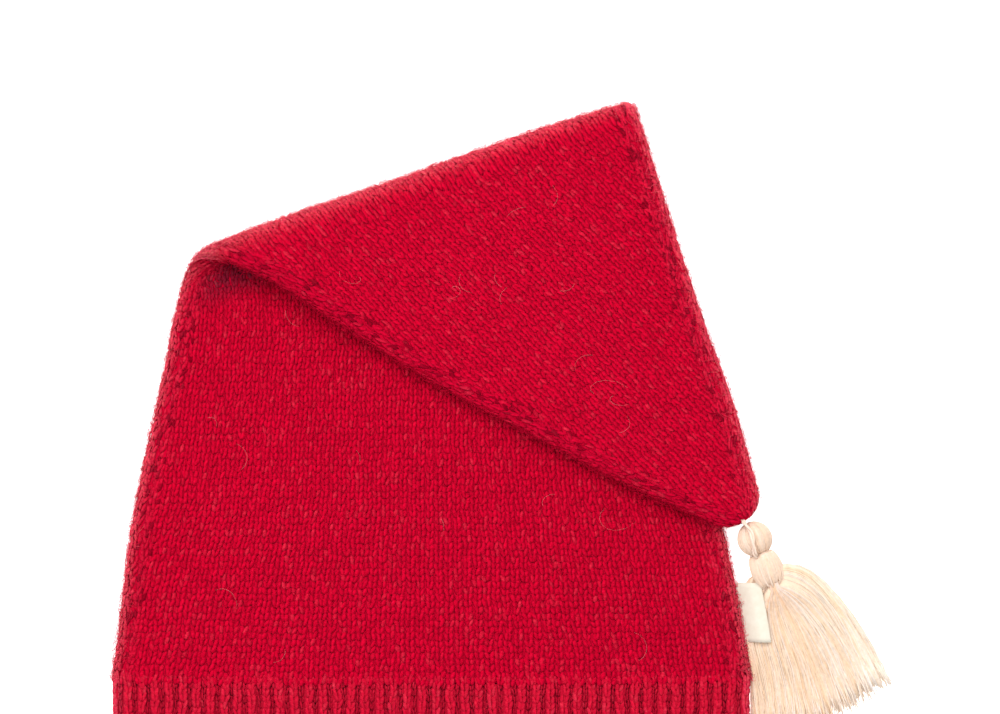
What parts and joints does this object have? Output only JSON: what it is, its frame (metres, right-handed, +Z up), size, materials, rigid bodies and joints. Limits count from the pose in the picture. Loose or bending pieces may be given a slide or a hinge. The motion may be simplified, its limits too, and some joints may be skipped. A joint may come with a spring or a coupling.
{
  "type": "knitted pixie hat with tassel",
  "caption": "Knitted pointed hat lying flat, its tip folded over the front, with a ribbed brim, a bare side label and a yarn tassel at the tip.",
  "frame": {"origin": "centre of the bounding box's footprint, on the surface that the hat lies on", "axes": "+Z up, away from the surface; +Y from the brim towards the fold; +X towards the side with the tip and the tassel"},
  "size_m": [0.24, 0.2058, 0.0178],
  "materials": {
    "red_wool": "heathered red wool knit, matte and slightly fuzzy",
    "cream_yarn": "soft cream cotton yarn with a faint sheen",
    "label_cloth": "bare ivory woven ribbon, matte"
  },
  "bodies": {
    "root": {"front_panel": "red_wool", "back_panel": "red_wool", "rib_band": "red_wool", "label": "label_cloth", "tassel": "cream_yarn", "tassel_cord": "cream_yarn", "tassel_binding": "cream_yarn"}
  },
  "joints": []
}
